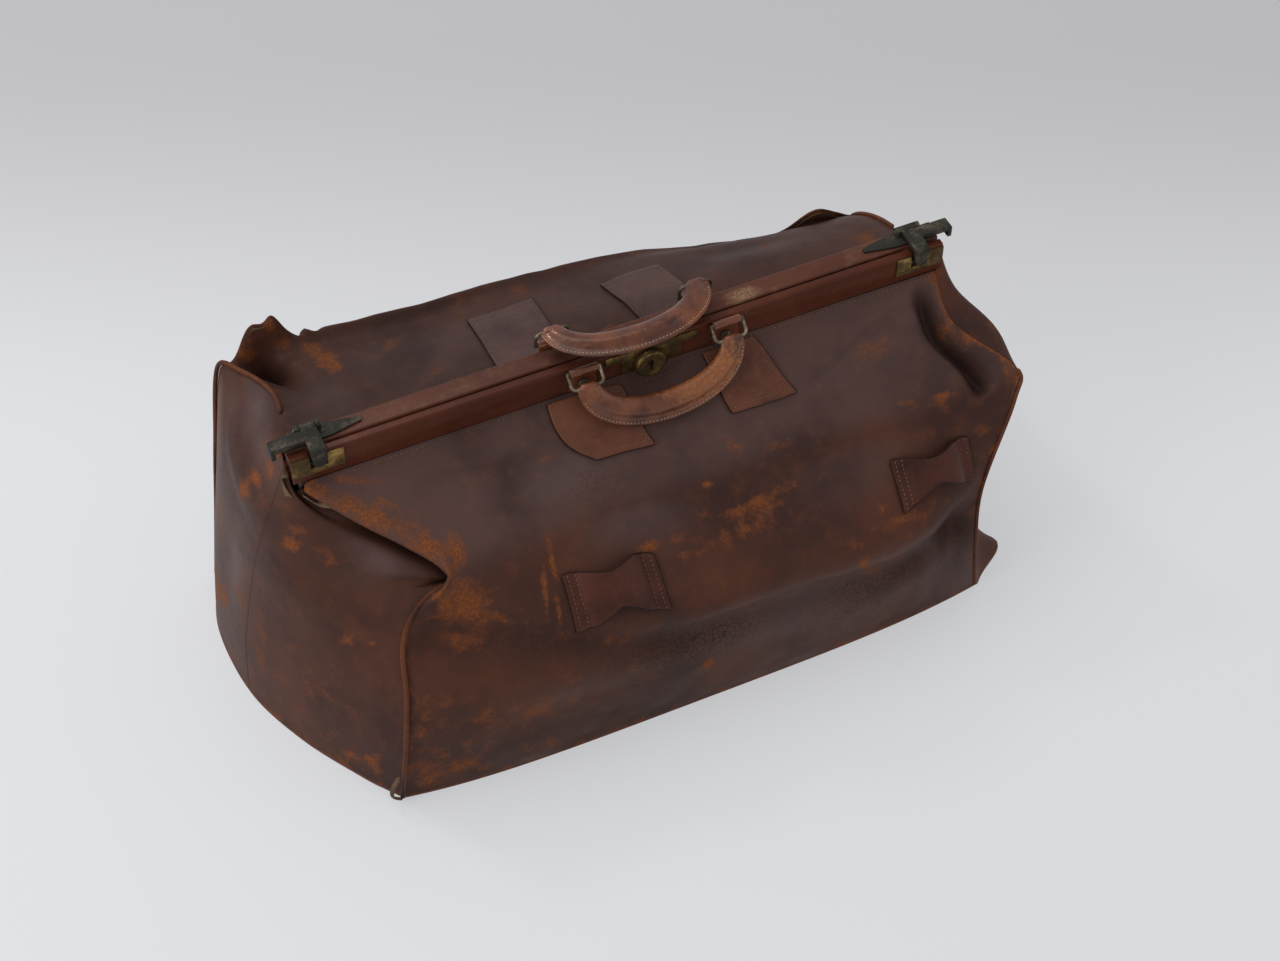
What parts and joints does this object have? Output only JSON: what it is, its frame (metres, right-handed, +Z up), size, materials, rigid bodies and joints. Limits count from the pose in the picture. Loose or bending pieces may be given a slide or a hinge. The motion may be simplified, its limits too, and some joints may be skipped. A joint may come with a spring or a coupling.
{
  "type": "doctor's bag",
  "caption": "Slumped leather bag on a hinged steel jaw frame, with a bowed base, folded end gussets, lifting claws, a sliding lock and two handles; opens along the top.",
  "frame": {"origin": "on the floor in the underside of the base, under the middle of the closed mouth", "axes": "+X along the mouth to the right, +Y to the back, +Z up"},
  "size_m": [0.7067, 0.3456, 0.3324],
  "materials": {
    "wall_leather": "worn, cracked and scuffed",
    "trim_leather": "worn, satin",
    "jaw_leather": "smooth, satin",
    "handle_leather": "polished by use",
    "base_leather": "matt, scuffed",
    "board": "millboard, matt",
    "brass": "tarnished",
    "steel": "dull"
  },
  "bodies": {
    "bag_body": {"base_panel": "base_leather", "base_board": "board", "front_panel": "wall_leather", "back_panel": "wall_leather", "left_gusset": "wall_leather", "right_gusset": "wall_leather", "front_left_piping": "trim_leather", "front_right_piping": "trim_leather", "back_left_piping": "trim_leather", "back_right_piping": "trim_leather", "front_left_keeper": "trim_leather", "front_right_keeper": "trim_leather", "back_left_keeper": "trim_leather", "back_right_keeper": "trim_leather", "left_hinge_pin": "steel", "right_hinge_pin": "steel"},
    "front_jaw": {"front_yoke": "wall_leather", "front_jaw_bar": "steel", "front_jaw_cover": "jaw_leather", "front_left_arm": "steel", "front_right_arm": "steel", "left_end_plate": "brass", "right_end_plate": "brass", "front_left_patch": "trim_leather", "front_right_patch": "trim_leather", "front_left_chape": "handle_leather", "front_right_chape": "handle_leather", "front_rivets": "brass", "lock_plate": "brass", "lock_case": "brass"},
    "lock_slide": {"lock_boss": "brass", "lock_bolt": "steel"},
    "front_rings": {"front_left_ring": "brass", "front_right_ring": "brass"},
    "front_handle": {"front_handle": "handle_leather"},
    "back_jaw": {"back_yoke": "wall_leather", "back_jaw_bar": "steel", "back_jaw_cover": "jaw_leather", "back_left_arm": "steel", "back_right_arm": "steel", "back_left_patch": "trim_leather", "back_right_patch": "trim_leather", "back_left_chape": "handle_leather", "back_right_chape": "handle_leather", "back_rivets": "brass", "left_catch_plate": "brass", "right_catch_plate": "brass", "left_claw_pin": "steel", "right_claw_pin": "steel", "hasp_staple": "brass"},
    "back_rings": {"back_left_ring": "brass", "back_right_ring": "brass"},
    "back_handle": {"back_handle": "handle_leather"},
    "left_claw": {"left_claw": "brass"},
    "right_claw": {"right_claw": "brass"}
  },
  "joints": [
    {"name": "front_jaw_open", "type": "hinge", "parent": "bag_body", "child": "front_jaw", "pos_m": [0, 0, 0.195], "axis": [1, 0, 0], "range_deg": [0, 45], "deforming": ["left_gusset", "right_gusset"]},
    {"name": "back_jaw_open", "type": "hinge", "parent": "bag_body", "child": "back_jaw", "pos_m": [0, 0, 0.195], "axis": [-1, 0, 0], "range_deg": [0, 45], "deforming": ["left_gusset", "right_gusset"]},
    {"name": "lock_slide", "type": "slide", "parent": "front_jaw", "child": "lock_slide", "axis": [1, 0, 0], "range_m": [0, 0.006]},
    {"name": "front_ring_swing", "type": "hinge", "parent": "front_jaw", "child": "front_rings", "pos_m": [0.022, -0.01315, 0.308], "axis": [-1, 0, 0], "range_deg": [0, 50]},
    {"name": "front_handle_swing", "type": "hinge", "parent": "front_rings", "child": "front_handle", "pos_m": [0.022, -0.02355, 0.29863], "axis": [-1, 0, 0], "range_deg": [0, 40]},
    {"name": "back_ring_swing", "type": "hinge", "parent": "back_jaw", "child": "back_rings", "pos_m": [0.01, 0.02365, 0.3115], "axis": [-1, 0, 0], "range_deg": [0, 15]},
    {"name": "back_handle_swing", "type": "hinge", "parent": "back_rings", "child": "back_handle", "pos_m": [0.01, 0.02219, 0.32542], "axis": [-1, 0, 0], "range_deg": [0, 85]},
    {"name": "left_claw_lift", "type": "hinge", "parent": "back_jaw", "child": "left_claw", "pos_m": [-0.267, 0.0145, 0.3164], "axis": [-1, 0, 0], "range_deg": [0, 90]},
    {"name": "right_claw_lift", "type": "hinge", "parent": "back_jaw", "child": "right_claw", "pos_m": [0.267, 0.0145, 0.3164], "axis": [-1, 0, 0], "range_deg": [0, 90]}
  ]
}
